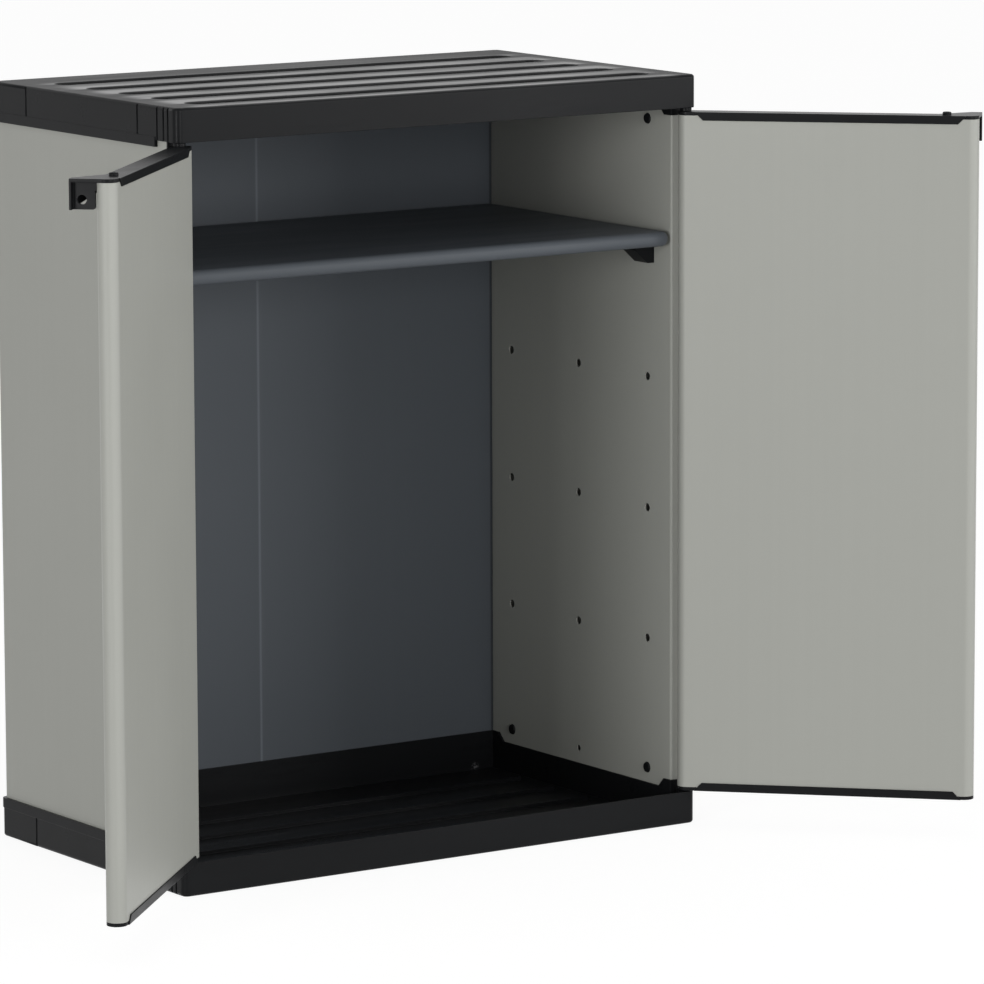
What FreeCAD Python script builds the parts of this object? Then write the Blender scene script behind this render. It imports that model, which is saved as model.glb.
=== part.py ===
import FreeCAD, Part
import math
import os

Vector = FreeCAD.Vector
X_AXIS = Vector(1, 0, 0)
Z_AXIS = Vector(0, 0, 1)
ORIGIN = Vector(0, 0, 0)

# A two-door resin storage cabinet, in millimetres.
# X runs to the right, Y to the back and Z up; the origin is on the floor, under the middle of the carcass.

# Overall size with the doors shut
width = 680.0
depth = 395.0
height = 850.0

# Base and lid: one moulding, used twice
skirt_wall = 3.0
plate_wall = 3.0
front_rim = 37.0
side_rim = 44.0
lip_height = 11.0
lip_proud = 1.0
lip_set_back = 43.0
corner_radius = 8.0
edge_round = 3.5
inner_rim_wall = 2.5
socket_rise = 10.0
socket_length = 24.0
side_groove_spread = 118.0
groove_width = 3.0
groove_depth = 1.2
flute_set_backs = (17.0, 26.0, 39.0)
slot_count = 5
slot_pitch = 68.0
slot_width = 26.0
slot_length = 600.0
slot_depth = 4.0
slot_row_offset = -18.5
front_gusset_count = 4
front_gusset_height = 22.0
front_gusset_end_gap = 32.0
tongue_width = 18.0
tongue_top = 68.0

# Twin-wall panels
panel_fit = 0.2
side_thickness = 13.0
side_nose_round = 3.0
side_skin = 1.6
back_thickness = 7.3
back_skin = 1.2
back_web_pitch = 24.0
web_wall = 1.2
seam_tongue = 6.0
seam_tongue_thickness = 2.4
seam_gap = 0.5

# Peg holes in the side panels
hole_columns = (-126.0, 10.0, 146.0)
first_row = 54.0
row_pitch = 150.0
peg_hole_diameter = 9.5
small_hole_diameter = 7.0
cells_between_columns = 6
plug_shank_diameter = 9.3
plug_head_diameter = 12.5
plug_head_height = 1.8
plug_head_bevel = 1.0
plug_reach = 11.0
tongue_window_clearance = 0.1

# Shelf and its supports
shelf_head_room = 120.0
shelf_thickness = 17.0
shelf_wall = 2.6
shelf_front_wall = 6.5
shelf_side_gap = 2.0
shelf_front_gap = 2.0
shelf_back_gap = 1.5
shelf_corner_radius = 9.0
shelf_edge_round = 7.5
shelf_rib_count_x = 5
shelf_rib_count_y = 2
rest_gap = 0.3
support_seat_above_peg = 2.0
support_reach = 26.0
support_width = 26.0
support_depth = 21.5
support_nose = 6.0
support_heel = 9.0
support_upstand_wall = 1.2
support_upstand = 6.5
support_peg_diameter = 9.0
support_peg_length = 10.0

# Doors
door_thickness = 22.0
door_skin = 1.7
door_web_pitch = 24.0
door_bottom_gap = 2.5
door_top_gap = 4.0
door_meeting_gap = 3.0
door_socket_gap = 0.8
door_open_angle = 135.0
pivot_from_side = 10.0
pivot_from_front = 8.5
panel_past_pivot = 8.0
cap_plate = 4.0
cap_lip_height = 9.4
cap_lip_proud = 1.5
cap_lip_end = 13.0
cap_lip_gap = 2.1
cap_tongue_height = 14.0
cap_tongue_fit = 0.3
cap_tongue_count = 4
pin_diameter = 8.0
pin_length = 18.0
pin_tip_bevel = 1.0
pin_clearance = 0.05
bore_extra_depth = 2.0
hinge_boss_radius = 8.0
spacer_radius = 6.5
nub_set_back = 36.0
nub_diameter = 10.0
nub_hollow_diameter = 4.5
nub_height = 3.4
nub_floor = 1.0
nub_bevel = 1.0
tab_height = 32.0
tab_reach = 27.0
tab_wall = 4.0
tab_flange = 12.0
tab_flange_wall = 2.5
tab_stand_off = 1.5
tab_web_height = 13.0
tab_gusset_length = 33.0
tab_from_end = 1.0
tab_hole_diameter = 10.0
tab_hole_drop = 22.0
tab_hole_from_edge = 11.6
tab_corner_radius = 3.0

# Modelling allowances
cut_margin = 1.0
pick_tolerance = 0.01
tangent_slack = 0.01

# Places worked out from the sizes above
half_width = width / 2
front = -depth / 2
back = depth / 2
skirt_side = half_width - lip_proud
skirt_back = back - lip_proud
side_outer = skirt_side - skirt_wall - panel_fit
side_inner = side_outer - side_thickness
back_outer = skirt_back - skirt_wall - panel_fit
back_inner = back_outer - back_thickness
rim_side = side_inner - panel_fit
rim_back = back_inner - panel_fit
socket_front = front + door_thickness + door_socket_gap
side_front = socket_front + inner_rim_wall + panel_fit
panel_bottom = plate_wall + panel_fit
panel_top = height - panel_bottom
pivot_x = half_width - pivot_from_side
pivot_y = front + pivot_from_front
door_bottom = front_rim + door_bottom_gap
door_top = height - front_rim - door_top_gap
door_end = pivot_x - door_meeting_gap / 2
door_outer = -pivot_from_front
door_inner = door_outer + door_thickness
door_middle = door_outer + door_thickness / 2
shelf_row_number = int((height - 2 * first_row - shelf_head_room) // row_pitch)
shelf_row = first_row + shelf_row_number * row_pitch
shelf_bottom = shelf_row + support_seat_above_peg
shelf_top = shelf_bottom + shelf_thickness
shelf_front = front + door_thickness + shelf_front_gap
open_rows = [first_row + row_pitch * n for n in range(1, shelf_row_number)]
cell_pitch = (hole_columns[1] - hole_columns[0]) / cells_between_columns


def block(low, high):
    """A box between two opposite corners."""
    size = Vector(*high) - Vector(*low)
    return Part.makeBox(size.x, size.y, size.z, Vector(*low))


def rod(radius, length, start, direction):
    """A round bar from a start point along a direction."""
    return Part.makeCylinder(radius, length, Vector(*start), direction)


def rounded_outline(low, high, radius, z):
    """A closed rectangle with four equal round corners, flat at height z."""
    x0, y0 = low
    x1, y1 = high
    centres = ((x1 - radius, y0 + radius), (x1 - radius, y1 - radius),
               (x0 + radius, y1 - radius), (x0 + radius, y0 + radius))
    arcs = []
    for turn, (cx, cy) in enumerate(centres):
        first = math.radians(90 * turn - 90)
        points = []
        for step in (0, 0.5, 1):
            angle = first + step * math.pi / 2
            points.append(Vector(cx + radius * math.cos(angle), cy + radius * math.sin(angle), z))
        arcs.append(Part.Arc(*points).toShape())
    edges = []
    for here, following in zip(arcs, arcs[1:] + arcs[:1]):
        edges.append(here)
        first_point = here.Vertexes[-1].Point
        last_point = following.Vertexes[0].Point
        if (last_point - first_point).Length > 1e-6:
            edges.append(Part.makeLine(first_point, last_point))
    return Part.Wire(edges)


def prism(outline, z_rise):
    """The solid that a flat outline sweeps going up by z_rise."""
    return Part.Face(outline).extrude(Vector(0, 0, z_rise))


def slab(points, sweep):
    """The solid that a flat polygon, given by its corners, sweeps along a vector."""
    corners = [Vector(*point) for point in points]
    return Part.Face(Part.makePolygon(corners + corners[:1])).extrude(Vector(*sweep))


def mirrored_x(shape):
    """The left-hand copy of a right-hand piece."""
    return shape.mirror(ORIGIN, X_AXIS)


def united(shapes):
    """One clean solid from pieces that touch."""
    return shapes[0].fuse(shapes[1:]).removeSplitter()


def hollow_profile(outline, cells, z, rise):
    """A twin-wall extrusion: an outline with open cells, swept upward."""
    face = Part.makeFace([outline] + cells, "Part::FaceMakerBullseye")
    solid = face.extrude(Vector(0, 0, rise))
    solid.translate(Vector(0, 0, z))
    return solid


def rectangle(x0, y0, x1, y1):
    """A flat rectangle on the floor plane."""
    corners = [Vector(x0, y0, 0), Vector(x1, y0, 0), Vector(x1, y1, 0), Vector(x0, y1, 0)]
    return Part.makePolygon(corners + corners[:1])


def slot_recess(y):
    """The long round-ended hollow of one recess in the plate."""
    reach = slot_length / 2
    half = slot_width / 2
    outline = rounded_outline((-reach, y - half), (reach, y + half), half - tangent_slack, 0)
    return prism(outline, slot_depth)


def slot_pad(y):
    """The raised strip inside the tray that backs one recess."""
    reach = slot_length / 2 + slot_depth
    half = slot_width / 2 + slot_depth
    return block((-reach, y - half, plate_wall), (reach, y + half, plate_wall + slot_depth))


# Base and lid moulding, drawn as the base

def outer_skirt():
    """The tray's plate and outer skirt, low at the front where the doors swing."""
    outline = rounded_outline((-skirt_side, front), (skirt_side, skirt_back), corner_radius, 0)
    body = prism(outline, side_rim)
    bottom_edges = [edge for edge in body.Edges if edge.BoundBox.ZMax < pick_tolerance]
    body = body.makeFillet(edge_round, bottom_edges)
    lip_radius = corner_radius + lip_proud
    lip_bottom = side_rim - lip_height
    lip_outline = rounded_outline((-half_width, front), (half_width, back), lip_radius, lip_bottom)
    lip = prism(lip_outline, lip_height)
    lip = lip.cut(block((-width, front - cut_margin, 0), (width, front + lip_set_back, height)))
    body = body.fuse(lip)
    hollow_low = (-skirt_side + skirt_wall, front + skirt_wall)
    hollow_high = (skirt_side - skirt_wall, skirt_back - skirt_wall)
    hollow = rounded_outline(hollow_low, hollow_high, corner_radius - skirt_wall, plate_wall)
    body = body.cut(prism(hollow, side_rim))
    step = block((-width, front - cut_margin, front_rim), (width, front + lip_set_back, height))
    return body.cut(step)


def slot_rows():
    """The Y places of the recesses."""
    return [slot_row_offset + slot_pitch * (n - (slot_count - 1) / 2) for n in range(slot_count)]


def inner_rim():
    """The wall that stands the panels up in the tray, raised at the back and at the front corners."""
    base = plate_wall
    crest = front_rim + socket_rise
    front_foot = socket_front + socket_length
    back_foot = rim_back - socket_length
    profile = [(rim_side, socket_front, base), (rim_side, socket_front, crest),
               (rim_side, front_foot - socket_rise, crest), (rim_side, front_foot, front_rim),
               (rim_side, back_foot, front_rim), (rim_side, back_foot + socket_rise, crest),
               (rim_side, rim_back, crest), (rim_side, rim_back, base)]
    side = slab(profile, (-inner_rim_wall, 0, 0))
    return_low = (rim_side - inner_rim_wall, socket_front, base)
    front_return = block(return_low, (side_outer, socket_front + inner_rim_wall, crest))
    back_wall = block((-rim_side, rim_back - inner_rim_wall, base), (rim_side, rim_back, crest))
    right = side.fuse(front_return)
    return [right, mirrored_x(right), back_wall]


def front_gussets():
    """Triangular ribs that stiffen the front skirt from behind."""
    gussets = []
    inside = front + skirt_wall
    span = 2 * (rim_side - front_gusset_end_gap)
    for n in range(front_gusset_count):
        x = span * ((n + 0.5) / front_gusset_count - 0.5)
        corners = [(x, inside, plate_wall), (x, inside, plate_wall + front_gusset_height),
                   (x, inside + front_gusset_height, plate_wall)]
        gussets.append(slab(corners, (inner_rim_wall, 0, 0)))
    return gussets


def hinge_boss():
    """The right-hand post that carries a door pin, tied to the socket by a web."""
    post = rod(hinge_boss_radius, front_rim - plate_wall, (pivot_x, pivot_y, plate_wall), Z_AXIS)
    half_web = inner_rim_wall / 2
    web = block((pivot_x - half_web, pivot_y, plate_wall),
                (pivot_x + half_web, socket_front + inner_rim_wall, front_rim))
    return post.fuse(web)


def hinge_bore():
    """The round hole for a door pin."""
    deep = pin_length + bore_extra_depth
    radius = pin_diameter / 2 + pin_clearance
    return rod(radius, deep, (pivot_x, pivot_y, front_rim - deep), Z_AXIS)


def plugged_columns():
    """The front and rear hole columns, which take the fixing plugs."""
    return (hole_columns[0], hole_columns[2])


def tongues():
    """Right-hand uprights that slide into the hollow side panel, with windows for the plugs."""
    inner = side_inner + side_skin + panel_fit
    outer = side_outer - side_skin - panel_fit
    made = []
    for y in plugged_columns():
        low = (inner, y - tongue_width / 2, plate_wall)
        upright = block(low, (outer, y + tongue_width / 2, tongue_top))
        half = plug_shank_diameter / 2 + tongue_window_clearance
        window = block((inner - cut_margin, y - half, first_row - half),
                       (outer + cut_margin, y + half, first_row + half))
        made.append(upright.cut(window))
    return made


def skirt_grooves():
    """Right-hand upright grooves on the side skirt, and the flutes behind the front corner."""
    cuts = []
    lip_bottom = side_rim - lip_height
    for y in (-side_groove_spread, side_groove_spread):
        low = (skirt_side - groove_depth, y - groove_width / 2, -cut_margin)
        cuts.append(block(low, (width, y + groove_width / 2, lip_bottom)))
    for set_back in flute_set_backs:
        middle = front + set_back
        low = (skirt_side - groove_depth, middle - groove_width / 2, -cut_margin)
        cuts.append(block(low, (width, middle + groove_width / 2, front_rim + cut_margin)))
    return cuts


def moulding():
    """The whole tray, as it stands when it is the base."""
    solids = [outer_skirt()] + inner_rim() + front_gussets()
    for piece in [hinge_boss()] + tongues():
        solids += [piece, mirrored_x(piece)]
    solids += [slot_pad(y) for y in slot_rows()]
    cuts = []
    for cut in [hinge_bore()] + skirt_grooves():
        cuts += [cut, mirrored_x(cut)]
    cuts += [slot_recess(y) for y in slot_rows()]
    return united(solids).cut(cuts)


# Side panels, back panels and plugs

def side_panel():
    """The right-hand side panel, with rounded front corners and peg holes in its inner skin."""
    nose_y = side_front + side_nose_round
    inner_x = side_inner + side_nose_round
    outer_x = side_outer - side_nose_round
    inset = side_nose_round * (1 - math.sqrt(0.5))
    inner_corner = Part.Arc(Vector(side_inner, nose_y, 0), Vector(side_inner + inset, side_front + inset, 0),
                            Vector(inner_x, side_front, 0))
    front_edge = Part.makeLine(Vector(inner_x, side_front, 0), Vector(outer_x, side_front, 0))
    outer_corner = Part.Arc(Vector(outer_x, side_front, 0), Vector(side_outer - inset, side_front + inset, 0),
                            Vector(side_outer, nose_y, 0))
    heel = corner_radius - skirt_wall - panel_fit
    heel_x = side_outer - heel
    heel_y = back_outer - heel
    slant = heel * math.sqrt(0.5)
    corner = Part.Arc(Vector(side_outer, heel_y, 0), Vector(heel_x + slant, heel_y + slant, 0),
                      Vector(heel_x, back_outer, 0))
    outer_face = Part.makeLine(Vector(side_outer, nose_y, 0), Vector(side_outer, heel_y, 0))
    rear = [Vector(heel_x, back_outer, 0), Vector(side_inner, back_outer, 0), Vector(side_inner, nose_y, 0)]
    nose = [inner_corner.toShape(), front_edge, outer_corner.toShape()]
    outline = Part.Wire(nose + [outer_face, corner.toShape()] + Part.makePolygon(rear).Edges)
    first_cell = math.ceil((nose_y - hole_columns[1]) / cell_pitch + 0.5)
    last_cell = math.floor((heel_y - hole_columns[1]) / cell_pitch - 0.5)
    webs = [hole_columns[1] + cell_pitch * (n - 0.5) for n in range(first_cell, last_cell + 2)]
    ends = [nose_y] + webs + [heel_y + web_wall / 2]
    cells = []
    for start, stop in zip(ends, ends[1:]):
        if stop - start > 2 * web_wall:
            cells.append(rectangle(side_inner + side_skin, start + web_wall / 2,
                                   side_outer - side_skin, stop - web_wall / 2))
    panel = hollow_profile(outline, cells, panel_bottom, panel_top - panel_bottom)
    bores = []
    for y in hole_columns:
        plugged = y in plugged_columns()
        end_diameter = peg_hole_diameter if plugged else small_hole_diameter
        rows = [(z, peg_hole_diameter) for z in open_rows + [shelf_row]]
        rows += [(first_row, end_diameter), (height - first_row, end_diameter)]
        for z, diameter in rows:
            start = (side_inner - cut_margin, y, z)
            bores.append(rod(diameter / 2, side_skin + 2 * cut_margin, start, X_AXIS))
    return panel.cut(bores)


def back_panel(with_tongue):
    """A right-hand back panel, from the middle seam to the side panel, with a tongue or a groove there."""
    x0 = seam_gap / 2
    x1 = side_inner - panel_fit
    outline = rectangle(x0, back_inner, x1, back_outer)
    webs = []
    x = x1 - back_web_pitch
    while x > x0 + 2 * seam_tongue:
        webs.append(x)
        x -= back_web_pitch
    ends = [x1 - back_skin + web_wall / 2] + webs + [x0 + 2 * seam_tongue]
    cells = []
    for stop, start in zip(ends, ends[1:]):
        if stop - start > 2 * web_wall:
            cells.append(rectangle(start + web_wall / 2, back_inner + back_skin,
                                   stop - web_wall / 2, back_outer - back_skin))
    panel = hollow_profile(outline, cells, panel_bottom, panel_top - panel_bottom)
    centre = (back_inner + back_outer) / 2
    half = seam_tongue_thickness / 2
    if with_tongue:
        low = (x0 - seam_tongue, centre - half, panel_bottom)
        return united([panel, block(low, (x0 + seam_tongue, centre + half, panel_top))])
    half += panel_fit
    low = (x0 - cut_margin, centre - half, panel_bottom - cut_margin)
    high = (x0 + seam_tongue + panel_fit, centre + half, panel_top + cut_margin)
    return panel.cut(block(low, high))


def plugs(z):
    """A pair of right-hand fixing plugs at one height: bevelled head, and a shank into the tongue."""
    made = []
    for y in plugged_columns():
        radius = plug_head_diameter / 2
        crown = radius - plug_head_bevel
        head = Part.makeCone(radius, crown, plug_head_height, Vector(side_inner, y, z), -X_AXIS)
        shank = rod(plug_shank_diameter / 2, plug_reach, (side_inner, y, z), X_AXIS)
        made.append(united([head, shank]))
    return Part.makeCompound(made)


# Shelf and supports

def shelf():
    """A ribbed shelf with rounded edges, open underneath."""
    half = side_inner - shelf_side_gap
    low = (-half, shelf_front)
    high = (half, back_inner - shelf_back_gap)
    body = prism(rounded_outline(low, high, shelf_corner_radius, shelf_bottom), shelf_thickness)
    face_y = low[1] + shelf_corner_radius + cut_margin
    rounded = [edge for edge in body.Edges
               if edge.BoundBox.YMax < face_y and edge.BoundBox.ZLength < pick_tolerance]
    body = body.makeFillet(shelf_edge_round, rounded)
    inside_low = (low[0] + shelf_wall, low[1] + shelf_front_wall)
    inside_high = (high[0] - shelf_wall, high[1] - shelf_wall)
    ceiling = shelf_thickness - shelf_wall
    inner_radius = shelf_corner_radius - shelf_wall
    hollow_outline = rounded_outline(inside_low, inside_high, inner_radius, shelf_bottom - cut_margin)
    body = body.cut(prism(hollow_outline, ceiling + cut_margin))
    ribs = []
    for n in range(1, shelf_rib_count_x + 1):
        x = low[0] + (high[0] - low[0]) * n / (shelf_rib_count_x + 1)
        ribs.append(block((x - web_wall / 2, low[1] + shelf_edge_round, shelf_bottom + shelf_wall),
                          (x + web_wall / 2, high[1] - shelf_wall / 2, shelf_top - shelf_wall / 2)))
    for n in range(1, shelf_rib_count_y + 1):
        y = low[1] + (high[1] - low[1]) * n / (shelf_rib_count_y + 1)
        ribs.append(block((low[0] + shelf_wall / 2, y - web_wall / 2, shelf_bottom + shelf_wall),
                          (high[0] - shelf_wall / 2, y + web_wall / 2, shelf_top - shelf_wall / 2)))
    return united([body] + ribs)


def shelf_support(y):
    """A right-hand wedge that hangs on a peg and carries one corner of the shelf."""
    top = shelf_bottom - rest_gap
    wall = side_inner
    start = y - support_width / 2
    upstand = wall - support_upstand_wall
    corners = [(wall, start, top - support_depth), (wall, start, top + support_upstand),
               (upstand, start, top + support_upstand), (upstand, start, top),
               (wall - support_reach, start, top), (wall - support_reach, start, top - support_nose),
               (wall - support_heel, start, top - support_depth)]
    wedge = slab(corners, (0, support_width, 0))
    peg = rod(support_peg_diameter / 2, support_peg_length, (wall, y, shelf_row), X_AXIS)
    return united([wedge, peg])


# Right-hand door, drawn shut with its pivot at the origin, its free end towards -X and its back towards +Y

def door_outline():
    """The door's plan: flat faces and two round edges."""
    radius = door_thickness / 2 - tangent_slack
    return rounded_outline((-door_end, door_outer), (panel_past_pivot, door_inner), radius, 0)


def door_cells():
    """The places where the open cells of the door panel start and stop."""
    radius = door_thickness / 2
    first = -door_end + radius
    last = panel_past_pivot - radius
    count = round((last - first) / door_web_pitch)
    pitch = (last - first) / count
    return [(first + pitch * n + web_wall / 2, first + pitch * (n + 1) - web_wall / 2) for n in range(count)]


def door_panel():
    """The twin-wall door leaf between its two caps."""
    cells = []
    for start, stop in door_cells():
        cells.append(rectangle(start, door_outer + door_skin, stop, door_inner - door_skin))
    low = door_bottom + cap_plate
    return hollow_profile(door_outline(), cells, low, door_top - cap_plate - low)


def cap_lip():
    """The lip of a cap along the door's back, with slanted ends."""
    first = rim_side - inner_rim_wall - pivot_x - cap_lip_gap
    last = -door_end + cap_lip_end
    corners = [(first, door_inner, 0), (first - cap_lip_height, door_inner, cap_lip_height),
               (last + cap_lip_height, door_inner, cap_lip_height), (last, door_inner, 0)]
    return slab(corners, (0, cap_lip_proud, 0))


def door_cap(gap):
    """A cap drawn as the bottom one, its underside at zero: plate, lip, tongues, spacer and pin."""
    plate = prism(door_outline(), cap_plate)
    spacer = rod(spacer_radius, gap - rest_gap, (0, 0, rest_gap - gap), Z_AXIS)
    pin = rod(pin_diameter / 2, pin_length + gap, (0, 0, -gap - pin_length), Z_AXIS)
    tip = [edge for edge in pin.Edges if edge.BoundBox.ZMax < rest_gap - gap - pin_length]
    pin = pin.makeChamfer(pin_tip_bevel, tip)
    pieces = [plate, spacer, pin, cap_lip()]
    cells = door_cells()
    for n in range(cap_tongue_count):
        start, stop = cells[round((n + 0.5) * len(cells) / cap_tongue_count - 0.5)]
        low = (start + cap_tongue_fit, door_outer + door_skin + cap_tongue_fit, cap_plate)
        high = (stop - cap_tongue_fit, door_inner - door_skin - cap_tongue_fit,
                cap_plate + cap_tongue_height)
        pieces.append(block(low, high))
    return united(pieces)


def bottom_cap():
    """The door's lower cap at its height."""
    cap = door_cap(door_bottom_gap)
    cap.translate(Vector(0, 0, door_bottom))
    return cap


def padlock_tab():
    """The tab near the free end: a holed plate under a roof, with an outer flange and a slanted gusset."""
    near = -door_end + tab_from_end
    plate_back = near + tab_flange
    plate_front = plate_back - tab_wall
    heel = plate_front + tab_gusset_length
    edge = door_outer - tab_reach
    inside = door_outer - tab_stand_off
    low = door_top - tab_height
    plate = block((plate_front, edge, low), (plate_back, inside, door_top))
    corner = [line for line in plate.Edges if line.BoundBox.ZMax < low + pick_tolerance
              and line.BoundBox.YMin > inside - pick_tolerance]
    plate = plate.makeFillet(tab_corner_radius, corner)
    hole_start = (plate_front - cut_margin, edge + tab_hole_from_edge, door_top - tab_hole_drop)
    plate = plate.cut(rod(tab_hole_diameter / 2, tab_wall + 2 * cut_margin, hole_start, X_AXIS))
    flange = block((near, edge, low), (plate_back, edge + tab_flange_wall, door_top))
    web_foot = door_top - tab_web_height
    web = block((plate_front, edge + tab_wall, web_foot), (plate_back, door_middle, door_top))
    gusset = slab([(plate_front, edge, low), (plate_front, edge, door_top), (heel, door_outer, door_top),
                   (heel, door_outer, web_foot)], (tab_wall, 0, 0))
    roof_foot = door_top - cap_plate
    roof_end = heel + tab_wall
    roof = slab([(near, edge, roof_foot), (plate_back, edge, roof_foot), (roof_end, door_outer, roof_foot),
                 (roof_end, door_middle, roof_foot), (near, door_middle, roof_foot)], (0, 0, cap_plate))
    below_cap = united([plate, flange, web, gusset]).cut(prism(door_outline(), roof_foot))
    return united([below_cap, roof])


def top_cap():
    """The door's upper cap: the lower one turned over, with the catch nub and the padlock tab."""
    cap = door_cap(door_top_gap).mirror(ORIGIN, Z_AXIS)
    cap.translate(Vector(0, 0, door_top))
    nub_x = -door_end + nub_set_back
    nub = rod(nub_diameter / 2, nub_height, (nub_x, door_middle, door_top), Z_AXIS)
    crest = [edge for edge in nub.Edges if edge.BoundBox.ZMin > door_top + nub_height / 2]
    nub = nub.makeChamfer(nub_bevel, crest)
    hollow_start = (nub_x, door_middle, door_top + nub_floor)
    nub = nub.cut(rod(nub_hollow_diameter / 2, nub_height, hollow_start, Z_AXIS))
    return united([cap, nub, padlock_tab()])


def hung(shape):
    """A right-hand door piece turned open and set on its pivot."""
    placed = shape.copy()
    placed.rotate(ORIGIN, Z_AXIS, door_open_angle)
    placed.translate(Vector(pivot_x, pivot_y, 0))
    return placed


# All pieces

def all_pieces():
    """Every node's name and shape, with the doors standing open."""
    base = moulding()
    panel = side_panel()
    named = {
        "base_tray": base,
        "lid": base.mirror(Vector(0, 0, height / 2), Z_AXIS),
        "right_side_panel": panel,
        "left_side_panel": mirrored_x(panel),
        "back_panel_right": back_panel(with_tongue=True),
        "back_panel_left": mirrored_x(back_panel(with_tongue=False)),
        "shelf": shelf(),
    }
    for place, y in zip(("front", "rear"), plugged_columns()):
        support = shelf_support(y)
        named["shelf_support_%s_right" % place] = support
        named["shelf_support_%s_left" % place] = mirrored_x(support)
    for place, z in (("base", first_row), ("lid", height - first_row)):
        pair = plugs(z)
        named["%s_plugs_right" % place] = pair
        named["%s_plugs_left" % place] = mirrored_x(pair)
    for piece, shape in (("panel", door_panel()), ("top_cap", top_cap()), ("bottom_cap", bottom_cap())):
        opened = hung(shape)
        named["right_door_%s" % piece] = opened
        named["left_door_%s" % piece] = mirrored_x(opened)
    return named


os.makedirs("parts", exist_ok=True)
for name, shape in all_pieces().items():
    if not shape.isValid():
        print("not valid:", name)
    print(name, len(shape.Solids), round(shape.Volume / 1000, 1))
    shape.exportStep("parts/%s.step" % name)
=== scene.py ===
"""Looks for a low two-door resin cabinet with one shelf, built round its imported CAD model.

Each moulding is a copy of its CAD piece with rounded edges and smooth curves, and each
extruded panel is a copy with real flutes. The fixing plugs keep their CAD shape. Every piece
wears a procedural resin finish, and the cabinet stands on a pale studio floor, seen through a
long lens from the front left.
"""

import logging
import math
from dataclasses import dataclass
from enum import Enum
from typing import Any, Union

import bmesh
import bpy
from mathutils import Matrix, Vector


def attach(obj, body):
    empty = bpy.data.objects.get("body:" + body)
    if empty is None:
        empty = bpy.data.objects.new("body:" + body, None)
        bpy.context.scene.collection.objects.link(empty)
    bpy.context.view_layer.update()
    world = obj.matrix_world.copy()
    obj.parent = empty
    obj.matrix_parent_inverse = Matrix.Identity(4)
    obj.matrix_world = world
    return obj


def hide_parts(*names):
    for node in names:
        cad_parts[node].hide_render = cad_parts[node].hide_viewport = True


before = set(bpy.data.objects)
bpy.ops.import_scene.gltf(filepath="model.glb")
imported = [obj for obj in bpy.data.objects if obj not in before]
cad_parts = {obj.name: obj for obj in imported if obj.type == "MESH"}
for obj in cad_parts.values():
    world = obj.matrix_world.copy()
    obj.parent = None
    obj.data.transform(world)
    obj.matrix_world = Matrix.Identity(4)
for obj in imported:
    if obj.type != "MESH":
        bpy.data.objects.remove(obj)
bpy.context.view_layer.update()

LOG = logging.getLogger("cabinet")
MILLIMETRE = 0.001
MERGE_DISTANCE = 1e-6
NEAR = MERGE_DISTANCE * 10
SLIVER_WIDTH = 1e-5
FACING_COSINE = 0.99
LINE_SLACK = 0.01
# Name of the mesh attribute on faces painted dark as shade inside the panels' hollow cells.
CELL_SHADE_MARK = "cell_shade"
FLAT_ANGLE = math.radians(0.5)
EDGE_ANGLE = math.radians(32.0)
SMOOTH_ANGLE = math.radians(40.0)

# Octaves of a noise texture.
SMOOTH_DETAIL = 1.0
USUAL_DETAIL = 2.0
FINE_DETAIL = 3.0
RICH_DETAIL = 4.0

Triple = tuple[float, float, float]
Colour = Triple
Skins = tuple[float, float]
Operand = Union["Reading", float]
Paint = Union["Reading", Colour]

RIGHTWARD: Triple = (1.0, 0.0, 0.0)
BACKWARD: Triple = (0.0, 1.0, 0.0)
UPWARD: Triple = (0.0, 0.0, 1.0)
NO_LIGHT: Colour = (0.0, 0.0, 0.0)
FULL_WHITE: Colour = (1.0, 1.0, 1.0)

GREY_RESIN: Colour = (0.392, 0.397, 0.365)
SLATE_RESIN: Colour = (0.081, 0.091, 0.104)
BLACK_RESIN: Colour = (0.0090, 0.0095, 0.0104)
BLACK_SATIN = {"roughness": 0.3, "gloss": 0.08}


class Hand(Enum):
    """The side of the cabinet that a piece belongs to, as seen from the front."""

    RIGHT = "right"
    LEFT = "left"

    @property
    def sign(self) -> float:
        """Direction of this side along X."""
        return 1.0 if self is Hand.RIGHT else -1.0


class Slot(Enum):
    """The material slots of the record."""

    GREY = "grey_resin"
    BLACK = "black_resin"
    SLATE = "slate_resin"


class Reading:
    """A shader value for Python arithmetic: each operation adds one Math node."""

    def __init__(self, board: "NodeBoard", socket: bpy.types.NodeSocket) -> None:
        """Wraps one output socket.

        Args:
            board: The board that holds the socket's node.
            socket: The output socket that carries the value.
        """
        self.board = board
        self.socket = socket

    def __add__(self, other: Operand) -> "Reading":
        """Sum of two values."""
        return self.board.maths("ADD", self, other)

    def __radd__(self, other: Operand) -> "Reading":
        """Sum of two values, number first."""
        return self.board.maths("ADD", other, self)

    def __sub__(self, other: Operand) -> "Reading":
        """Difference of two values."""
        return self.board.maths("SUBTRACT", self, other)

    def __rsub__(self, other: Operand) -> "Reading":
        """Difference of two values, number first."""
        return self.board.maths("SUBTRACT", other, self)

    def __mul__(self, other: Operand) -> "Reading":
        """Product of two values."""
        return self.board.maths("MULTIPLY", self, other)

    def __rmul__(self, other: Operand) -> "Reading":
        """Product of two values, number first."""
        return self.board.maths("MULTIPLY", other, self)


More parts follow.
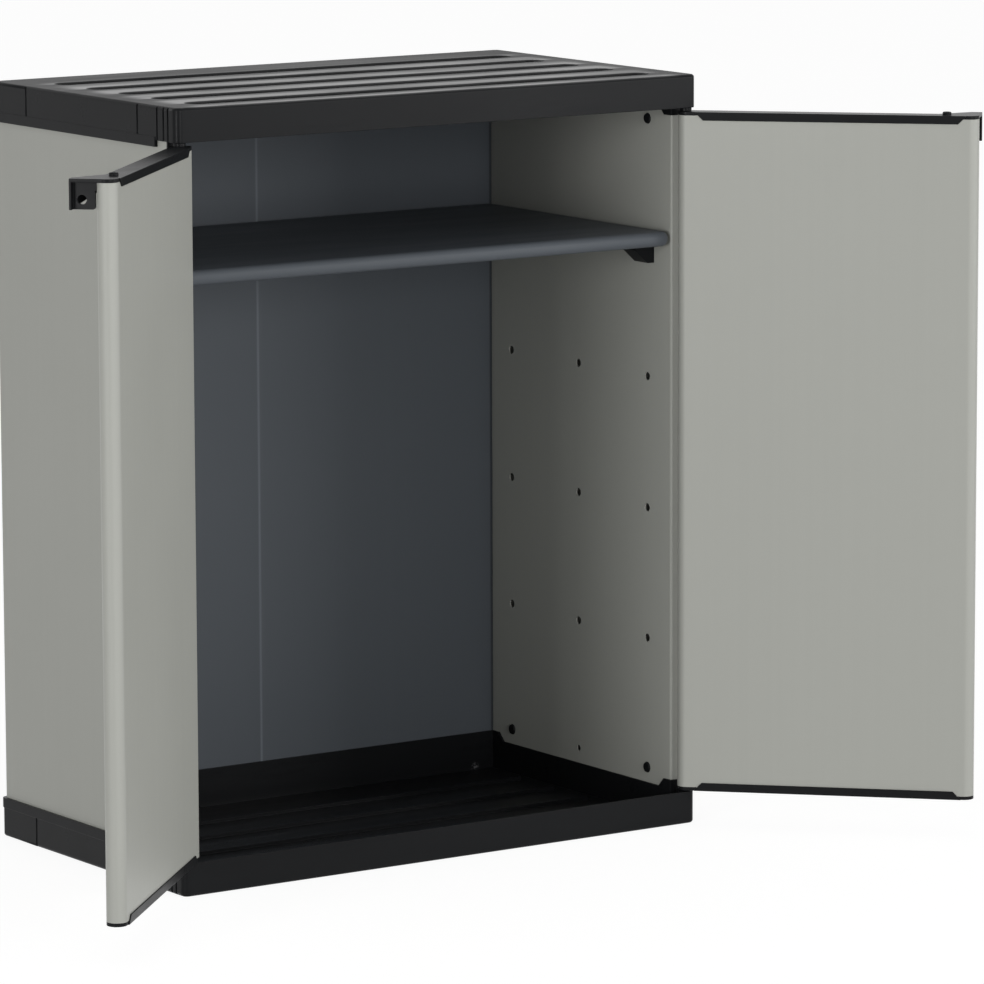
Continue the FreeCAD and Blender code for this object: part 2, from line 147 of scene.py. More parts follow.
class NodeBoard:
    """The node tree of one material or world, and the one way of adding nodes to it."""

    def __init__(self, tree: bpy.types.NodeTree) -> None:
        """Empties a node tree and takes it over.

        Args:
            tree: The tree to fill.
        """
        self.tree = tree
        tree.nodes.clear()

    def node(
        self,
        kind: str,
        settings: dict[str, Any] | None = None,
        sockets: dict[str, Any] | None = None,
    ) -> bpy.types.Node:
        """Adds a node, its settings first and its sockets after them.

        Args:
            kind: The node's type.
            settings: Properties of the node.
            sockets: Values or links by socket identifier.

        Returns:
            The new node.
        """
        made = self.tree.nodes.new(kind)
        for name, value in (settings or {}).items():
            setattr(made, name, value)
        for identifier, value in (sockets or {}).items():
            socket = next(s for s in made.inputs if s.identifier == identifier)
            if isinstance(value, Reading):
                self.tree.links.new(value.socket, socket)
            else:
                socket.default_value = value
        return made

    def read(self, made: bpy.types.Node, identifier: str) -> Reading:
        """Wraps a node's output socket.

        Args:
            made: The node to read.
            identifier: The output socket's identifier.

        Returns:
            The wrapped socket.
        """
        return Reading(self, next(s for s in made.outputs if s.identifier == identifier))

    def maths(self, operation: str, first: Operand, second: Operand = 0.0) -> Reading:
        """Adds a Math node.

        Args:
            operation: The node's operation.
            first: First operand.
            second: Second operand, where the operation has one.

        Returns:
            The result.
        """
        made = self.node(
            "ShaderNodeMath", {"operation": operation}, {"Value": first, "Value_001": second}
        )
        return self.read(made, "Value")

    def place(self) -> Reading:
        """The point on the surface, in the piece's own coordinates."""
        return self.read(self.node("ShaderNodeTexCoord"), "Object")

    def vector_maths(self, operation: str, place: Reading, other: Triple) -> bpy.types.Node:
        """Adds a Vector Math node.

        Args:
            operation: The node's operation.
            place: The point.
            other: The second vector.

        Returns:
            The node, whose output depends on the operation.
        """
        return self.node(
            "ShaderNodeVectorMath",
            {"operation": operation},
            {"Vector": place, "Vector_001": other},
        )

    def along(self, place: Reading, direction: Triple) -> Reading:
        """How far a point lies along a unit vector, in metres."""
        return self.read(self.vector_maths("DOT_PRODUCT", place, direction), "Value")

    def away(self, place: Reading, mark: Triple) -> Reading:
        """How far a point lies from a mark, in metres."""
        return self.read(self.vector_maths("DISTANCE", place, mark), "Value")

    def stretched(self, place: Reading, scale: Triple) -> Reading:
        """The point with each axis scaled, to draw a pattern out along a direction."""
        return self.read(self.vector_maths("MULTIPLY", place, scale), "Vector")

    def noise(self, place: Reading, scale: float, detail: float = USUAL_DETAIL) -> Reading:
        """Cloudy noise over a surface.

        Args:
            place: The point.
            scale: Features per metre.
            detail: Octaves.

        Returns:
            A value around one half.
        """
        made = self.node(
            "ShaderNodeTexNoise", {}, {"Vector": place, "Scale": scale, "Detail": detail}
        )
        return self.read(made, "Fac")

    def lines(self, offset: Reading, scale: float, detail: float = USUAL_DETAIL) -> Reading:
        """Noise along one direction only, so that it draws straight lines.

        Args:
            offset: Distance across the lines in metres.
            scale: Lines per metre.
            detail: Octaves.

        Returns:
            A value around one half.
        """
        made = self.node(
            "ShaderNodeTexNoise",
            {"noise_dimensions": "1D"},
            {"W": offset, "Scale": scale, "Detail": detail},
        )
        return self.read(made, "Fac")

    def mix(self, share: Reading, first: Paint, second: Paint) -> Reading:
        """Mixes two colours, each of them plain or varying.

        Args:
            share: How much of the second colour.
            first: Colour at nought.
            second: Colour at one.

        Returns:
            The mixed colour.
        """
        low, high = (
            paint if isinstance(paint, Reading) else (*paint, 1.0) for paint in (first, second)
        )
        made = self.node(
            "ShaderNodeMix",
            {"data_type": "RGBA"},
            {"Factor_Float": share, "A_Color": low, "B_Color": high},
        )
        return self.read(made, "Result_Color")

    def attribute(self, name: str) -> Reading:
        """A value that the mesh carries by name, nought where it carries none."""
        return self.read(self.node("ShaderNodeAttribute", {"attribute_name": name}), "Fac")

    def ramp(self, value: Reading, low: float, high: float) -> Reading:
        """A smooth rise from nought to one.

        Args:
            value: The value to follow.
            low: The value at nought.
            high: The value at one, which may be the smaller.

        Returns:
            The rise.
        """
        made = self.node(
            "ShaderNodeMapRange",
            {"interpolation_type": "SMOOTHSTEP"},
            {"Value": value, "From Min": low, "From Max": high},
        )
        return self.read(made, "Result")

    def relief(self, height: Reading, strength: float, depth: float) -> Reading:
        """Turns a height into a bumped normal.

        Args:
            height: Height from nought to one.
            strength: How much of the bump shows.
            depth: Height of one in metres.

        Returns:
            The normal.
        """
        made = self.node(
            "ShaderNodeBump", {}, {"Strength": strength, "Distance": depth, "Height": height}
        )
        return self.read(made, "Normal")

    def surface(self, shader: bpy.types.Node, identifier: str) -> None:
        """Makes a shader node's output the surface of the material."""
        self.node("ShaderNodeOutputMaterial", {}, {"Surface": self.read(shader, identifier)})


def shaded(colour: Colour, factor: float) -> Colour:
    """A colour made lighter or darker.

    Args:
        colour: Linear colour.
        factor: Factor for each channel.

    Returns:
        The new colour.
    """
    return tuple(channel * factor for channel in colour)


@dataclass(frozen=True)
class Resin:
    """What every resin finish of the cabinet shares."""

    name: str
    colour: Colour
    roughness: float = 0.45
    gloss: float = 0.4
    tone_spread: float = 0.04
    # Painted shade: the dark colour of the faces inside the hollow cells of a twin-wall panel.
    cell_shade: Colour = (0.012, 0.012, 0.012)
    polish_roughness: float = 0.34

    def material(self) -> bpy.types.Material:
        """Builds the finish as a node material.

        Returns:
            The material.
        """
        made = bpy.data.materials.new(self.name)
        made.use_nodes = True
        board = NodeBoard(made.node_tree)
        place = board.place()
        shader = board.node(
            "ShaderNodeBsdfPrincipled",
            {},
            {
                # Faces with the cell shade mark take the painted shade instead of the tone.
                "Base Color": board.mix(
                    board.attribute(CELL_SHADE_MARK), self.tone(board, place), self.cell_shade
                ),
                "Roughness": self.sheen(board, place),
                "Normal": self.grain(board, place),
                "Specular IOR Level": self.gloss,
                "Coat Weight": self.polish(board, place),
                "Coat Roughness": self.polish_roughness,
            },
        )
        board.surface(shader, "BSDF")
        return made

    def pigment(self, board: NodeBoard, share: Reading) -> Reading:
        """The finish's colour, from its darkest at nought to its lightest at one."""
        low = shaded(self.colour, 1.0 - self.tone_spread)
        high = shaded(self.colour, 1.0 + self.tone_spread)
        return board.mix(share, low, high)

    def tone(self, board: NodeBoard, place: Reading) -> Reading:
        """Base colour, uneven as pigment in resin is."""
        raise NotImplementedError

    def sheen(self, board: NodeBoard, place: Reading) -> Reading:
        """Roughness, uneven as the tool left it."""
        raise NotImplementedError

    def grain(self, board: NodeBoard, place: Reading) -> Reading:
        """Surface relief."""
        raise NotImplementedError

    def polish(self, board: NodeBoard, place: Reading) -> Operand:
        """Share of rubbed, smoother skin; a plain finish has none."""
        return 0.0


@dataclass(frozen=True)
class ExtrudedResin(Resin):
    """Twin-wall panel drawn through a die, with fine lines along its height."""

    across: Triple = BACKWARD
    webs_per_metre: float = 1.0 / 0.013
    lines_per_metre: float = 1.0 / 0.0011
    drift_scale: float = 3.0
    handling_scale: float = 7.0
    peel_scale: float = 420.0
    tone_shares: Triple = (0.35, 0.35, 0.3)
    roughness_drop: float = 0.12
    sheen_of_lines: float = 0.1
    sheen_of_handling: float = 0.14
    grain_shares: Triple = (0.45, 0.4, 0.15)
    grain_strength: float = 0.35
    grain_depth: float = 0.12 * MILLIMETRE

    def tone(self, board: NodeBoard, place: Reading) -> Reading:
        """Wide bands where the webs show through, and a slow drift of pigment."""
        offset = board.along(place, self.across)
        bands = board.lines(offset, self.webs_per_metre)
        drift = board.noise(place, self.drift_scale)
        fine = board.lines(offset, self.lines_per_metre)
        of_bands, of_drift, of_fine = self.tone_shares
        return self.pigment(board, bands * of_bands + drift * of_drift + fine * of_fine)

    def sheen(self, board: NodeBoard, place: Reading) -> Reading:
        """Satin that varies from line to line and with handling."""
        offset = board.along(place, self.across)
        lines = board.lines(offset, self.lines_per_metre, FINE_DETAIL)
        handling = board.noise(place, self.handling_scale, RICH_DETAIL)
        uneven = lines * self.sheen_of_lines + handling * self.sheen_of_handling
        return self.roughness - self.roughness_drop + uneven

    def grain(self, board: NodeBoard, place: Reading) -> Reading:
        """Die lines along the height over a faint ripple of the skin."""
        offset = board.along(place, self.across)
        lines = board.lines(offset, self.lines_per_metre, FINE_DETAIL)
        ripple = board.lines(offset, self.webs_per_metre, SMOOTH_DETAIL)
        peel = board.noise(place, self.peel_scale)
        of_lines, of_ripple, of_peel = self.grain_shares
        height = lines * of_lines + ripple * of_ripple + peel * of_peel
        return board.relief(height, self.grain_strength, self.grain_depth)


@dataclass(frozen=True)
class BackResin(ExtrudedResin):
    """Panel of the back, with a painted highlight along the cut edges of its seam and painted
    shade in the corners.
    """

    # Painted highlight: a lighter strip beside the middle seam, standing in for light caught
    # by its cut edges.
    seam_highlight_width: float = 2.6 * MILLIMETRE
    seam_highlight_gain: float = 1.75
    # Painted shade: a darker strip where the side panels meet the back, standing in for the
    # shadow in that corner.
    corner: float = 0.3228
    corner_shade_width: float = 4.2 * MILLIMETRE
    corner_shade_factor: float = 0.4
    corner_shade_fade: float = 0.4

    def tone(self, board: NodeBoard, place: Reading) -> Reading:
        """The panel's tone, with a painted highlight beside the middle seam and painted shade
        where the sides begin.
        """
        offset = board.maths("ABSOLUTE", board.along(place, self.across))
        # Painted highlight beside the seam.
        near = board.ramp(offset, self.seam_highlight_width, 0.0)
        pale = board.mix(near, super().tone(board, place), shaded(self.colour, self.seam_highlight_gain))
        # Painted shade in the corners, where the side panels begin.
        start = self.corner - self.corner_shade_width
        corner_shade_share = board.ramp(offset, start, start + self.corner_shade_width * self.corner_shade_fade)
        return board.mix(corner_shade_share, pale, shaded(self.colour, self.corner_shade_factor))


@dataclass(frozen=True)
class MouldedResin(Resin):
    """Injection moulding with a fine eroded grain and faint flow marks."""

    grains_per_metre: float = 1.0 / 0.0007
    flow: Triple = (1.0, 6.0, 6.0)
    tone_scale: float = 9.0
    tone_of_streaks: float = 0.6
    tone_of_speckle: float = 0.4
    sheen_scale: float = 5.0
    roughness_drop: float = 0.13
    sheen_of_streaks: float = 0.18
    sheen_of_speckle: float = 0.08
    wave_scale: float = 2.2
    height_of_grain: float = 0.1
    height_of_waves: float = 0.9
    grain_strength: float = 0.5
    grain_depth: float = 0.7 * MILLIMETRE

    def flowing(
        self, board: NodeBoard, place: Reading, scale: float, detail: float
    ) -> Reading:
        """Noise drawn out along the flow of the resin.

        Args:
            board: The material's board.
            place: The point.
            scale: Features per metre along the flow.
            detail: Octaves.

        Returns:
            A value around one half.
        """
        return board.noise(board.stretched(place, self.flow), scale, detail)

    def tone(self, board: NodeBoard, place: Reading) -> Reading:
        """Pigment streaks along the flow and a fine speckle from the grain."""
        streaks = self.flowing(board, place, self.tone_scale, RICH_DETAIL)
        speckle = board.noise(place, self.grains_per_metre)
        share = streaks * self.tone_of_streaks + speckle * self.tone_of_speckle
        return self.pigment(board, share)

    def sheen(self, board: NodeBoard, place: Reading) -> Reading:
        """Satin with duller and brighter areas along the flow."""
        streaks = self.flowing(board, place, self.sheen_scale, FINE_DETAIL)
        speckle = board.noise(place, self.grains_per_metre)
        uneven = streaks * self.sheen_of_streaks + speckle * self.sheen_of_speckle
        return self.roughness - self.roughness_drop + uneven

    def grain(self, board: NodeBoard, place: Reading) -> Reading:
        """Eroded grain over the slow waviness of a large moulding."""
        fine = board.noise(place, self.grains_per_metre, FINE_DETAIL)
        wavy = self.flowing(board, place, self.wave_scale, SMOOTH_DETAIL)
        height = fine * self.height_of_grain + wavy * self.height_of_waves
        return board.relief(height, self.grain_strength, self.grain_depth)


@dataclass(frozen=True)
class TrayResin(MouldedResin):
    """Moulding of the base tray, with the pale scar of its gate on the floor."""

    gate: Triple = (0.2944, 0.1843, 0.0062)
    gate_reach: float = 7.5 * MILLIMETRE
    scar: Colour = (0.15, 0.15, 0.155)
    rag_scale: float = 420.0
    rag_low: float = 0.45
    rag_high: float = 0.6

    def tone(self, board: NodeBoard, place: Reading) -> Reading:
        """The moulding's tone, with a ragged pale spot where the resin came in."""
        ragged = board.ramp(board.noise(place, self.rag_scale), self.rag_low, self.rag_high)
        share = board.ramp(board.away(place, self.gate), self.gate_reach, 0.0) * ragged
        return board.mix(share, super().tone(board, place), self.scar)


@dataclass(frozen=True)
class LidResin(MouldedResin):
    """Moulding with a dull top, whose ribs are rubbed to a streaky shine."""

    top: float = 0.850
    top_fade: float = 2.5 * MILLIMETRE
    top_dullness: float = 0.15
    first_recess: float = -0.1545
    last_recess: float = 0.1175
    recess_pitch: float = 0.068
    recess_reach: float = 0.300
    fade: float = 0.025
    shine: float = 0.85
    shine_full: float = 0.46
    shine_gone: float = 0.74
    evenness: float = 0.45
    streak_scale: float = 7.0
    streak_low: float = 0.3
    streak_high: float = 0.62

    def on_top(self, board: NodeBoard, place: Reading) -> Reading:
        """One on the top and nought down the skirt and in the recesses."""
        height = board.along(place, UPWARD)
        return board.ramp(height, self.top - self.top_fade, self.top)

    def sheen(self, board: NodeBoard, place: Reading) -> Reading:
        """The moulding's satin, duller on the top."""
        return super().sheen(board, place) + self.on_top(board, place) * self.top_dullness

    def polish(self, board: NodeBoard, place: Reading) -> Operand:
        """Shine in streaks on the front half of each rib, as far as the recesses reach."""
        across = board.along(place, RIGHTWARD)
        depth = board.along(place, BACKWARD)
        within = board.ramp(across, -self.recess_reach - self.fade, -self.recess_reach)
        within *= board.ramp(across, self.recess_reach + self.fade, self.recess_reach)
        within *= board.ramp(depth, self.last_recess + self.fade, self.last_recess)
        phase = board.maths("FRACT", (depth - self.first_recess) * (1.0 / self.recess_pitch))
        front_half = board.ramp(phase, self.shine_gone, self.shine_full)
        streaks = self.flowing(board, place, self.streak_scale, FINE_DETAIL)
        strong = board.ramp(streaks, self.streak_low, self.streak_high)
        streaked = strong * (1.0 - self.evenness) + self.evenness
        rubbed = streaked * front_half * within
        return rubbed * self.on_top(board, place) * self.shine


def is_hard(edge: bmesh.types.BMEdge) -> bool:
    """Whether two faces meet in an edge at a marked angle."""
    return edge.is_manifold and edge.calc_face_angle(0.0) > EDGE_ANGLE


@dataclass
class RoundedCopy:
    """A copy of a CAD piece with its hard edges rounded and its curves smooth."""

    node: str
    body: str
    slot: Slot
    material: bpy.types.Material
    edge_round: float = 0.45 * MILLIMETRE
    edge_segments: int = 2
    shortest_edge: float = 0.9 * MILLIMETRE
    # Whether the tightest spot of the mesh limits the width of every rounding.
    clamped: bool = False
    name_end: str = "moulded"

    def build(self) -> None:
        """Makes the piece, dresses it and puts it in place of its CAD node."""
        mesh = self.start()
        self.shape(mesh)
        self.soften(mesh)
        piece = self.finish(mesh)
        LOG.info("%s: %d faces", piece.name, len(piece.data.polygons))

    def start(self) -> bmesh.types.BMesh:
        """Copies the node's triangles, welds them and joins those that lie flat.

        Returns:
            The mesh to shape.
        """
        mesh = bmesh.new()
        mesh.from_mesh(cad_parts[self.node].data)
        bmesh.ops.remove_doubles(mesh, verts=mesh.verts, dist=MERGE_DISTANCE)
        bmesh.ops.dissolve_limit(
            mesh, angle_limit=FLAT_ANGLE, verts=mesh.verts, edges=mesh.edges
        )
        return mesh

    def shape(self, mesh: bmesh.types.BMesh) -> None:
        """Adds detail before the edges are rounded; a plain copy adds none."""

    def soften(self, mesh: bmesh.types.BMesh) -> None:
        """Rounds the hard edges.

        Args:
            mesh: The mesh to work on.
        """
        hard = [
            edge
            for edge in mesh.edges
            if is_hard(edge) and edge.calc_length() > self.shortest_edge
        ]
        self.bevel(mesh, hard, self.edge_round, self.edge_segments)

    def bevel(
        self,
        mesh: bmesh.types.BMesh,
        edges: list[bmesh.types.BMEdge],
        width: float,
        segments: int,
    ) -> None:
        """Rounds a set of edges.

        Args:
            mesh: The mesh to work on.
            edges: The edges to round.
            width: How far the rounding reaches into each face.
            segments: Faces across the rounding.
        """
        bmesh.ops.bevel(
            mesh,
            geom=edges,
            offset=width,
            offset_type="OFFSET",
            segments=segments,
            profile=0.5,
            affect="EDGES",
            clamp_overlap=self.clamped,
            material=-1,
        )
        if not self.clamped:
            bmesh.ops.dissolve_degenerate(mesh, dist=SLIVER_WIDTH, edges=mesh.edges)

    def finish(self, mesh: bmesh.types.BMesh) -> bpy.types.Object:
        """Turns the mesh into a piece that rides on its body.

        Args:
            mesh: The shaped mesh, which is freed.

        Returns:
            The piece.
        """
        data = bpy.data.meshes.new(f"{self.node}_{self.name_end}")
        mesh.to_mesh(data)
        mesh.free()
        data.shade_smooth()
        data.set_sharp_from_angle(angle=SMOOTH_ANGLE)
        data.materials.clear()
        data.materials.append(self.material)
        piece = bpy.data.objects.new(data.name, data)
        bpy.context.scene.collection.objects.link(piece)
        weighted = piece.modifiers.new("Even shading", "WEIGHTED_NORMAL")
        weighted.keep_sharp = True
        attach(piece, self.body)
        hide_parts(self.node)
        return piece


@dataclass
class Lid(RoundedCopy):
    """The lid, whose long recesses have softly rounded rims."""

    rim_round: float = 2.0 * MILLIMETRE
    rim_segments: int = 4

    def shape(self, mesh: bmesh.types.BMesh) -> None:
        """Rounds the rims of the recesses, the only hard edges in the plane of the top.

        Args:
            mesh: The mesh to work on.
        """
        top = max(vert.co.z for vert in mesh.verts) - NEAR
        rims = [
            edge
            for edge in mesh.edges
            if is_hard(edge) and all(vert.co.z > top for vert in edge.verts)
        ]
        self.bevel(mesh, rims, self.rim_round, self.rim_segments)


@dataclass
class FlutedPanel(RoundedCopy):
    """A twin-wall panel whose flat skins have fine upright flutes."""

    across: Triple = BACKWARD
    facing: Triple = RIGHTWARD
    flute_pitch: float = 3.0 * MILLIMETRE
    flute_depth: float = 0.05 * MILLIMETRE
    margin: float = 14.0 * MILLIMETRE
    skin_least: float = 0.5 * MILLIMETRE
    # Whether the skins have peg holes.
    drilled: bool = False
    clamped: bool = True
    name_end: str = "extruded"

    def shape(self, mesh: bmesh.types.BMesh) -> None:
        """Cuts the two skins at each crest and valley and presses the valleys in.

        Args:
            mesh: The mesh to work on.
        """
        across, facing = Vector(self.across), Vector(self.facing)
        heights = [facing.dot(v.co) for v in mesh.verts]
        skins = (min(heights), max(heights))
        spread = [across.dot(v.co) for v in mesh.verts]
        first, last = min(spread) + self.margin, max(spread) - self.margin
        count = int((last - first) / self.flute_pitch) * 2
        step = self.flute_pitch / 2
        for index in range(count + 1):
            self.cut(mesh, across, facing, skins, first + index * step)
        for vert in mesh.verts:
            self.press(vert, skins, first, count)
        self.mark_cell_shade(mesh, facing, skins)

    def soften(self, mesh: bmesh.types.BMesh) -> None:
        """Breaks the edges of a drilled panel; the others keep their crisp saw cuts.

        Args:
            mesh: The mesh to work on.
        """
        if self.drilled:
            super().soften(mesh)

    def mark_cell_shade(self, mesh: bmesh.types.BMesh, facing: Vector, skins: Skins) -> None:
        """Marks the inner sides of the skins, which are painted dark as shade inside the
        hollow cells.

        Args:
            mesh: The mesh to work on.
            facing: Unit vector out of the panel.
            skins: Where the two skins lie along facing.
        """
        cell_shade = mesh.faces.layers.float.new(CELL_SHADE_MARK)
        for face in mesh.faces:
            height = facing.dot(face.calc_center_median())
            inside = skins[0] + self.skin_least < height < skins[1] - self.skin_least
            if inside and abs(face.normal.dot(facing)) > FACING_COSINE:
                face[cell_shade] = 1.0

    def cut(
        self,
        mesh: bmesh.types.BMesh,
        across: Vector,
        facing: Vector,
        skins: Skins,
        offset: float,
    ) -> None:
        """Cuts both skins along one upright line.

        Args:
            mesh: The mesh to work on.
            across: Unit vector across the flutes.
            facing: Unit vector out of the panel.
            skins: Where the two skins lie along facing.
            offset: Where the line lies along across.
        """
        faces = []
        for face in mesh.faces:
            if abs(face.normal.dot(facing)) < FACING_COSINE:
                continue
            height = facing.dot(face.verts[0].co)
            if min(abs(height - skin) for skin in skins) > NEAR:
                continue
            places = [across.dot(v.co) for v in face.verts]
            if min(places) < offset - NEAR and max(places) > offset + NEAR:
                faces.append(face)
        parts = {edge for face in faces for edge in face.edges}
        verts = {vert for face in faces for vert in face.verts}
        bmesh.ops.bisect_plane(
            mesh,
            geom=[*faces, *parts, *verts],
            dist=MERGE_DISTANCE,
            plane_co=across * offset,
            plane_no=across,
        )

    def press(self, vert: bmesh.types.BMVert, skins: Skins, first: float, count: int) -> None:
        """Moves one point inwards if it lies in a valley.

        Args:
            vert: The point.
            skins: Where the two skins lie along facing.
            first: Where the first line lies.
            count: Number of lines after the first.
        """
        across, facing = Vector(self.across), Vector(self.facing)
        step = self.flute_pitch / 2
        line = (across.dot(vert.co) - first) / step
        index = round(line)
        in_valley = abs(line - index) <= LINE_SLACK and index % 2 == 1 and 0 < index < count
        if not in_valley:
            return
        height = facing.dot(vert.co)
        for skin, inward in zip(skins, (1.0, -1.0)):
            if abs(height - skin) < NEAR:
                vert.co += facing * inward * self.flute_depth


@dataclass
class Door:
    """One door: its extruded panel and the two moulded caps that carry its pins."""

    hand: Hand
    black: bpy.types.Material
    swing: float = math.radians(135.0)
    roughness: float = 0.42

    def build(self) -> None:
        """Builds the panel, as it stands when open, and the caps."""
        side = self.hand.value
        turn = self.swing * self.hand.sign
        opened = Matrix.Rotation(turn, 3, "Z")
        across = tuple(opened @ Vector((-self.hand.sign, 0.0, 0.0)))
        facing = tuple(opened @ Vector(BACKWARD))
        finish = ExtrudedResin(
            f"{side}_door_resin", GREY_RESIN, across=across, roughness=self.roughness
        )
        FlutedPanel(
            f"{side}_door_panel",
            f"{side}_door",
            Slot.GREY,
            finish.material(),
            across=across,
            facing=facing,
        ).build()
        for cap in ("top_cap", "bottom_cap"):
            RoundedCopy(
                f"{side}_door_{cap}", f"{side}_door", Slot.BLACK, self.black
            ).build()


@dataclass
class Carcass:
    """Base tray, lid, sides, back, plugs and shelf supports."""

    black: bpy.types.Material
    back_flute_depth: float = 0.03 * MILLIMETRE

    def build(self) -> None:
        """Builds every piece of the carcass."""
        tray_finish = TrayResin("tray_moulding", BLACK_RESIN, **BLACK_SATIN)
        RoundedCopy("base_tray", "carcass", Slot.BLACK, tray_finish.material()).build()
        lid_finish = LidResin("lid_moulding", BLACK_RESIN, **BLACK_SATIN)
        Lid("lid", "carcass", Slot.BLACK, lid_finish.material()).build()
        self.build_sides()
        self.build_back()
        for hand in Hand:
            for place in ("front", "rear"):
                RoundedCopy(
                    f"shelf_support_{place}_{hand.value}", "carcass", Slot.BLACK, self.black
                ).build()
            for level in ("base", "lid"):
                self.dress(f"{level}_plugs_{hand.value}", self.black)

    def build_sides(self) -> None:
        """Builds the two grey side panels."""
        material = ExtrudedResin("side_panel_resin", GREY_RESIN, across=BACKWARD).material()
        for hand in Hand:
            FlutedPanel(
                f"{hand.value}_side_panel",
                "carcass",
                Slot.GREY,
                material,
                across=BACKWARD,
                facing=RIGHTWARD,
                drilled=True,
            ).build()

    def build_back(self) -> None:
        """Builds the two slate panels of the back."""
        finish = BackResin(
            "back_panel_resin", SLATE_RESIN, across=RIGHTWARD, roughness=0.5, gloss=0.2
        )
        material = finish.material()
        for hand in Hand:
            FlutedPanel(
                f"back_panel_{hand.value}",
                "carcass",
                Slot.SLATE,
                material,
                across=RIGHTWARD,
                facing=BACKWARD,
                flute_depth=self.back_flute_depth,
            ).build()

    def dress(self, node: str, material: bpy.types.Material) -> None:
        """Gives a CAD node that needs no new shape its finish.

        Args:
            node: The node's name.
            material: The finish.
        """
        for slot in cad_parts[node].material_slots:
            slot.material = material
        LOG.info("%s: dressed", node)


@dataclass
class Shelf:
    """The loose moulded shelf."""

    edge_round: float = 0.3 * MILLIMETRE
    shortest_edge: float = 2.0 * MILLIMETRE

    def build(self) -> None:
        """Builds the shelf."""
        finish = MouldedResin("shelf_resin", SLATE_RESIN, roughness=0.46, gloss=0.2)
        RoundedCopy(
            "shelf",
            "shelf",
            Slot.SLATE,
            finish.material(),
            edge_round=self.edge_round,
            shortest_edge=self.shortest_edge,
        ).build()


@dataclass(frozen=True)
class Softbox:
    """A broad rectangular lamp."""

    name: str
    place: Triple
    width: float
    height: float
    power: float
    aim: Triple = (0.0, 0.0, 0.45)

    def build(self) -> None:
        """Hangs the lamp at its place, turned to what it lights."""
        lamp = bpy.data.lights.new(self.name, "AREA")
        lamp.shape = "RECTANGLE"
        lamp.size, lamp.size_y = self.width, self.height
        lamp.energy = self.power
        holder = bpy.data.objects.new(self.name, lamp)
        where = Vector(self.place)
        turn = (Vector(self.aim) - where).to_track_quat("-Z", "Y")
        holder.matrix_world = Matrix.LocRotScale(where, turn, None)
        bpy.context.scene.collection.objects.link(holder)
        LOG.info("%s: lit", self.name)


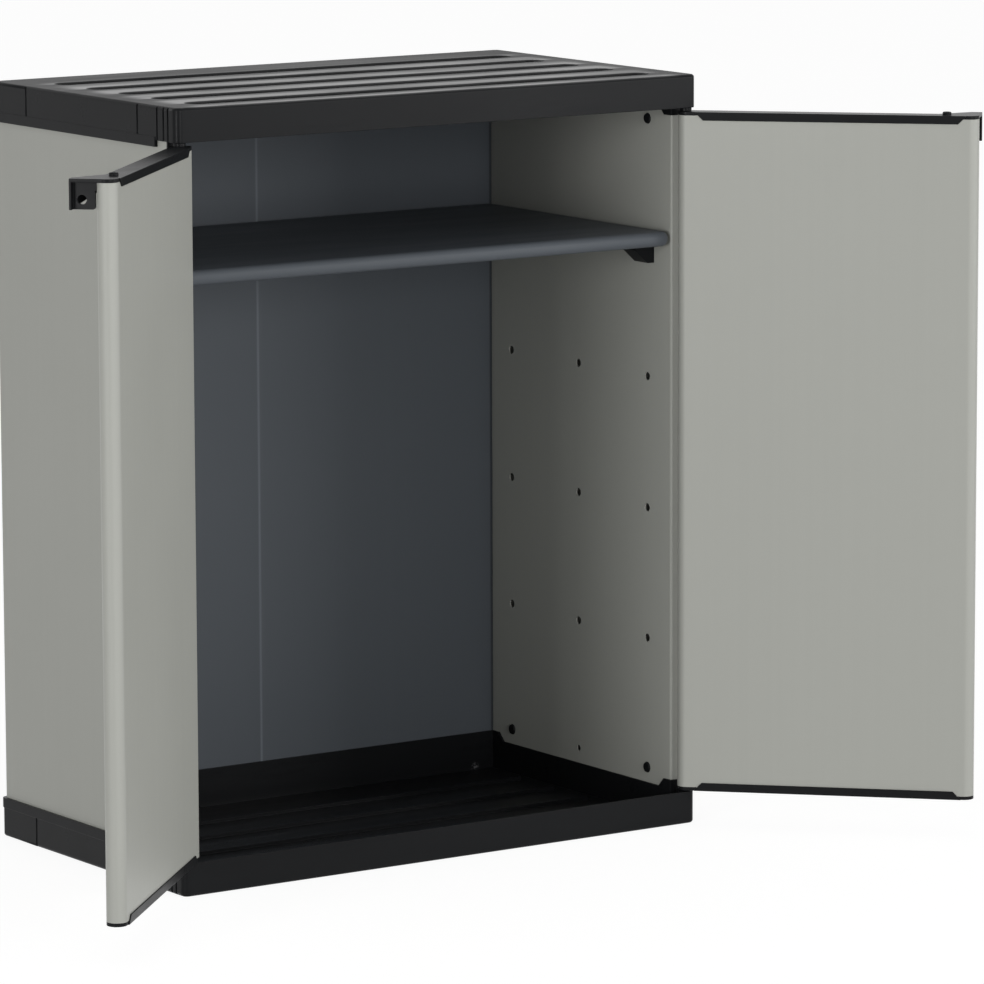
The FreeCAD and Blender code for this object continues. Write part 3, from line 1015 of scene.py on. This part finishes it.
@dataclass
class Studio:
    """Pale floor, white surround, soft light and the lens of the photograph."""

    floor_reach: float = 30.0
    floor_tone: float = 0.93
    floor_spread: float = 0.01
    floor_grain: float = 180.0
    floor_glow: float = 0.90
    floor_share: float = 0.25
    surround: float = 0.315
    lamps: tuple[Softbox, ...] = (
        Softbox("left_softbox", (-6.395, -2.847, 1.0), width=1.5, height=2.0, power=145.0),
        Softbox("front_softbox", (-0.697, -7.970, 1.2), width=3.0, height=3.0, power=179.0),
        Softbox("right_softbox", (5.353, -5.945, 1.3), width=4.0, height=3.0, power=200.0),
    )
    yaw: float = -34.18
    pitch: float = 9.0
    roll: float = -0.192
    target: Triple = (0.0505, -0.2138, 0.4078)
    distance: float = 6.887
    lens: float = 229.9
    sensor: float = 36.0
    clip_end: float = 120.0

    def build(self) -> None:
        """Builds the floor, the surround, the lamps and the camera."""
        self.build_floor()
        self.build_surround()
        for lamp in self.lamps:
            lamp.build()
        self.build_camera()
        bpy.context.scene.view_settings.view_transform = "Standard"

    def seen(self, board: NodeBoard) -> Reading:
        """One where the eye, a reflection or a clear surface looks, and nought for light."""
        path = board.node("ShaderNodeLightPath")
        eye = board.read(path, "Is Camera Ray")
        gloss = board.read(path, "Is Glossy Ray")
        clear = board.read(path, "Is Transmission Ray")
        return board.maths("MAXIMUM", board.maths("MAXIMUM", eye, gloss), clear)

    def build_floor(self) -> None:
        """Lays the floor, which looks white and still takes a soft shadow."""
        mesh = bmesh.new()
        bmesh.ops.create_grid(mesh, x_segments=1, y_segments=1, size=self.floor_reach)
        data = bpy.data.meshes.new("studio_floor")
        mesh.to_mesh(data)
        mesh.free()
        material = bpy.data.materials.new("studio_floor_paint")
        material.use_nodes = True
        board = NodeBoard(material.node_tree)
        speckle = board.noise(board.place(), self.floor_grain)
        seen = self.seen(board)
        tone = shaded(FULL_WHITE, self.floor_tone)
        low = shaded(tone, 1.0 - self.floor_spread)
        high = shaded(tone, 1.0 + self.floor_spread)
        full = board.mix(speckle, low, high)
        faint = board.mix(seen * (1.0 - self.floor_share), full, NO_LIGHT)
        paint = board.node("ShaderNodeBsdfDiffuse", {}, {"Color": faint})
        white = board.node("ShaderNodeEmission", {}, {"Strength": seen * self.floor_glow})
        both = board.node(
            "ShaderNodeAddShader",
            {},
            {
                "Shader": board.read(paint, "BSDF"),
                "Shader_001": board.read(white, "Emission"),
            },
        )
        board.surface(both, "Shader")
        data.materials.append(material)
        floor = bpy.data.objects.new("studio_floor", data)
        bpy.context.scene.collection.objects.link(floor)

    def build_surround(self) -> None:
        """Wraps the studio in even white light."""
        world = bpy.data.worlds.new("studio_surround")
        world.use_nodes = True
        board = NodeBoard(world.node_tree)
        strength = self.seen(board) * (1.0 - self.surround) + self.surround
        light = board.node(
            "ShaderNodeBackground", {}, {"Color": (*FULL_WHITE, 1.0), "Strength": strength}
        )
        board.node("ShaderNodeOutputWorld", {}, {"Surface": board.read(light, "Background")})
        bpy.context.scene.world = world

    def build_camera(self) -> None:
        """Sets up the long lens at the photograph's place."""
        yaw, pitch, roll = (math.radians(a) for a in (self.yaw, self.pitch, self.roll))
        back = Vector(
            (
                math.sin(yaw) * math.cos(pitch),
                -math.cos(yaw) * math.cos(pitch),
                math.sin(pitch),
            )
        )
        right = Vector((math.cos(yaw), math.sin(yaw), 0.0))
        up = back.cross(right)
        level = right * math.cos(roll) + up * math.sin(roll)
        rise = up * math.cos(roll) - right * math.sin(roll)
        eye = Vector(self.target) + back * self.distance
        data = bpy.data.cameras.new("front_left_lens")
        data.lens = self.lens
        data.sensor_width = self.sensor
        data.clip_end = self.clip_end
        camera = bpy.data.objects.new("front_left_lens", data)
        turn = Matrix((level, rise, back)).transposed()
        camera.matrix_world = Matrix.Translation(eye) @ turn.to_4x4()
        bpy.context.scene.collection.objects.link(camera)
        bpy.context.scene.camera = camera


def main() -> None:
    """Builds the sub-assemblies in order, then the studio."""
    logging.basicConfig(level=logging.INFO, format="%(message)s")
    black = MouldedResin("black_moulding", BLACK_RESIN, **BLACK_SATIN).material()
    Carcass(black).build()
    Shelf().build()
    for hand in Hand:
        Door(hand, black).build()
    Studio().build()


if __name__ == "__main__":
    main()
